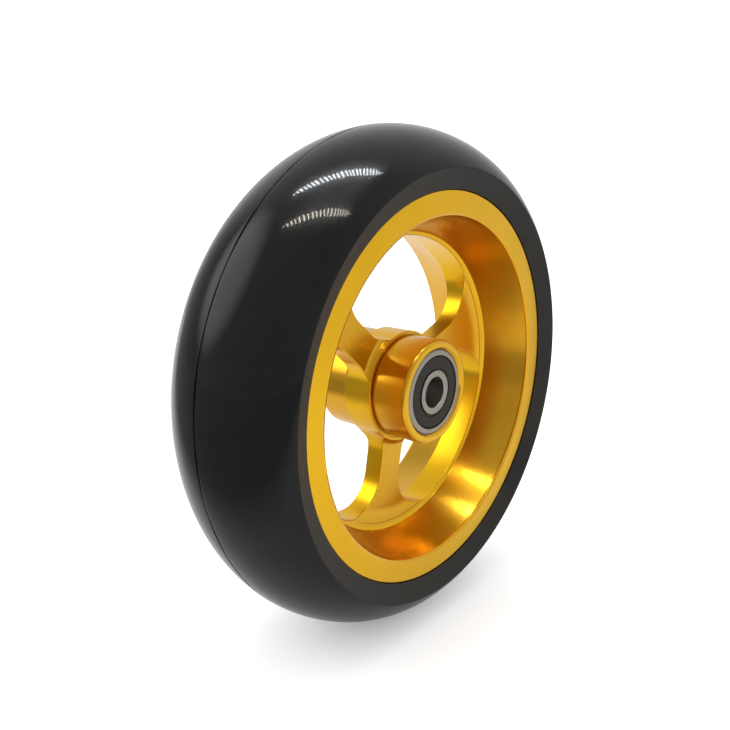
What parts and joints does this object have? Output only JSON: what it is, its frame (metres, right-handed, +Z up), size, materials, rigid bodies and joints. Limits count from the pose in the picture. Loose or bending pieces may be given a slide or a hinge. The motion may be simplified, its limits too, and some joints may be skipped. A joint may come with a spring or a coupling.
{
  "type": "caster wheel",
  "caption": "Small three-spoke front caster wheel: machined gold-anodised hub, moulded black tyre, sealed ball bearings and spacer.",
  "frame": {"origin": "centre of the wheel, on the axle's line and midway between the two faces", "axes": "+Y along the axle from the front face to the rear face, +Z up; -Y is the front face and one spoke points 21.5 degrees above +X"},
  "size_m": [0.127, 0.038, 0.127],
  "materials": {
    "tyre": "glossy black moulded polyurethane with a dull sidewall ring",
    "gold_anodised": "machined and gold anodised, satin to bright",
    "bearing_steel": "ground bearing steel",
    "ball_steel": "polished bearing steel",
    "cage_steel": "pressed steel sheet",
    "seal_rubber": "dark grey moulded seal rubber",
    "spacer": "plain turned tube"
  },
  "bodies": {
    "axle_stack": {"front_inner_race": "bearing_steel", "rear_inner_race": "bearing_steel", "spacer_tube": "spacer"},
    "wheel": {"hub": "gold_anodised", "tyre": "tyre", "front_outer_race": "bearing_steel", "front_outer_seal": "seal_rubber", "front_outer_seal_insert": "cage_steel", "front_inner_seal": "seal_rubber", "front_inner_seal_insert": "cage_steel", "rear_outer_race": "bearing_steel", "rear_outer_seal": "seal_rubber", "rear_outer_seal_insert": "cage_steel", "rear_inner_seal": "seal_rubber", "rear_inner_seal_insert": "cage_steel"},
    "front_cage": {"front_cage_outer_half": "cage_steel", "front_cage_inner_half": "cage_steel", "front_cage_rivets": "cage_steel"},
    "front_ball_1": {"front_ball_1": "ball_steel"},
    "front_ball_2": {"front_ball_2": "ball_steel"},
    "front_ball_3": {"front_ball_3": "ball_steel"},
    "front_ball_4": {"front_ball_4": "ball_steel"},
    "front_ball_5": {"front_ball_5": "ball_steel"},
    "front_ball_6": {"front_ball_6": "ball_steel"},
    "front_ball_7": {"front_ball_7": "ball_steel"},
    "rear_cage": {"rear_cage_outer_half": "cage_steel", "rear_cage_inner_half": "cage_steel", "rear_cage_rivets": "cage_steel"},
    "rear_ball_1": {"rear_ball_1": "ball_steel"},
    "rear_ball_2": {"rear_ball_2": "ball_steel"},
    "rear_ball_3": {"rear_ball_3": "ball_steel"},
    "rear_ball_4": {"rear_ball_4": "ball_steel"},
    "rear_ball_5": {"rear_ball_5": "ball_steel"},
    "rear_ball_6": {"rear_ball_6": "ball_steel"},
    "rear_ball_7": {"rear_ball_7": "ball_steel"}
  },
  "joints": [
    {"name": "wheel_spin", "type": "hinge", "parent": "axle_stack", "child": "wheel", "pos_m": [0, 0, 0], "axis": [0, 1, 0], "continuous": true},
    {"name": "front_cage_spin", "type": "hinge", "parent": "axle_stack", "child": "front_cage", "pos_m": [0, -0.0102, 0], "axis": [0, 1, 0], "continuous": true},
    {"name": "front_ball_1_roll", "type": "hinge", "parent": "front_cage", "child": "front_ball_1", "pos_m": [0.00468, -0.0102, 0.00586], "axis": [0, 1, 0], "continuous": true},
    {"name": "front_ball_2_roll", "type": "hinge", "parent": "front_cage", "child": "front_ball_2", "pos_m": [-0.00167, -0.0102, 0.00731], "axis": [0, 1, 0], "continuous": true},
    {"name": "front_ball_3_roll", "type": "hinge", "parent": "front_cage", "child": "front_ball_3", "pos_m": [-0.00676, -0.0102, 0.00325], "axis": [0, 1, 0], "continuous": true},
    {"name": "front_ball_4_roll", "type": "hinge", "parent": "front_cage", "child": "front_ball_4", "pos_m": [-0.00676, -0.0102, -0.00325], "axis": [0, 1, 0], "continuous": true},
    {"name": "front_ball_5_roll", "type": "hinge", "parent": "front_cage", "child": "front_ball_5", "pos_m": [-0.00167, -0.0102, -0.00731], "axis": [0, 1, 0], "continuous": true},
    {"name": "front_ball_6_roll", "type": "hinge", "parent": "front_cage", "child": "front_ball_6", "pos_m": [0.00468, -0.0102, -0.00586], "axis": [0, 1, 0], "continuous": true},
    {"name": "front_ball_7_roll", "type": "hinge", "parent": "front_cage", "child": "front_ball_7", "pos_m": [0.0075, -0.0102, 0], "axis": [0, 1, 0], "continuous": true},
    {"name": "rear_cage_spin", "type": "hinge", "parent": "axle_stack", "child": "rear_cage", "pos_m": [0, 0.0102, 0], "axis": [0, 1, 0], "continuous": true},
    {"name": "rear_ball_1_roll", "type": "hinge", "parent": "rear_cage", "child": "rear_ball_1", "pos_m": [0.00468, 0.0102, 0.00586], "axis": [0, 1, 0], "continuous": true},
    {"name": "rear_ball_2_roll", "type": "hinge", "parent": "rear_cage", "child": "rear_ball_2", "pos_m": [-0.00167, 0.0102, 0.00731], "axis": [0, 1, 0], "continuous": true},
    {"name": "rear_ball_3_roll", "type": "hinge", "parent": "rear_cage", "child": "rear_ball_3", "pos_m": [-0.00676, 0.0102, 0.00325], "axis": [0, 1, 0], "continuous": true},
    {"name": "rear_ball_4_roll", "type": "hinge", "parent": "rear_cage", "child": "rear_ball_4", "pos_m": [-0.00676, 0.0102, -0.00325], "axis": [0, 1, 0], "continuous": true},
    {"name": "rear_ball_5_roll", "type": "hinge", "parent": "rear_cage", "child": "rear_ball_5", "pos_m": [-0.00167, 0.0102, -0.00731], "axis": [0, 1, 0], "continuous": true},
    {"name": "rear_ball_6_roll", "type": "hinge", "parent": "rear_cage", "child": "rear_ball_6", "pos_m": [0.00468, 0.0102, -0.00586], "axis": [0, 1, 0], "continuous": true},
    {"name": "rear_ball_7_roll", "type": "hinge", "parent": "rear_cage", "child": "rear_ball_7", "pos_m": [0.0075, 0.0102, 0], "axis": [0, 1, 0], "continuous": true}
  ],
  "couplings": [
    {"joint": "front_cage_spin", "follows": "wheel_spin", "ratio": 0.6323},
    {"joint": "front_ball_1_roll", "follows": "wheel_spin", "ratio": 1.7573},
    {"joint": "front_ball_2_roll", "follows": "wheel_spin", "ratio": 1.7573},
    {"joint": "front_ball_3_roll", "follows": "wheel_spin", "ratio": 1.7573},
    {"joint": "front_ball_4_roll", "follows": "wheel_spin", "ratio": 1.7573},
    {"joint": "front_ball_5_roll", "follows": "wheel_spin", "ratio": 1.7573},
    {"joint": "front_ball_6_roll", "follows": "wheel_spin", "ratio": 1.7573},
    {"joint": "front_ball_7_roll", "follows": "wheel_spin", "ratio": 1.7573},
    {"joint": "rear_cage_spin", "follows": "wheel_spin", "ratio": 0.6323},
    {"joint": "rear_ball_1_roll", "follows": "wheel_spin", "ratio": 1.7573},
    {"joint": "rear_ball_2_roll", "follows": "wheel_spin", "ratio": 1.7573},
    {"joint": "rear_ball_3_roll", "follows": "wheel_spin", "ratio": 1.7573},
    {"joint": "rear_ball_4_roll", "follows": "wheel_spin", "ratio": 1.7573},
    {"joint": "rear_ball_5_roll", "follows": "wheel_spin", "ratio": 1.7573},
    {"joint": "rear_ball_6_roll", "follows": "wheel_spin", "ratio": 1.7573},
    {"joint": "rear_ball_7_roll", "follows": "wheel_spin", "ratio": 1.7573}
  ]
}
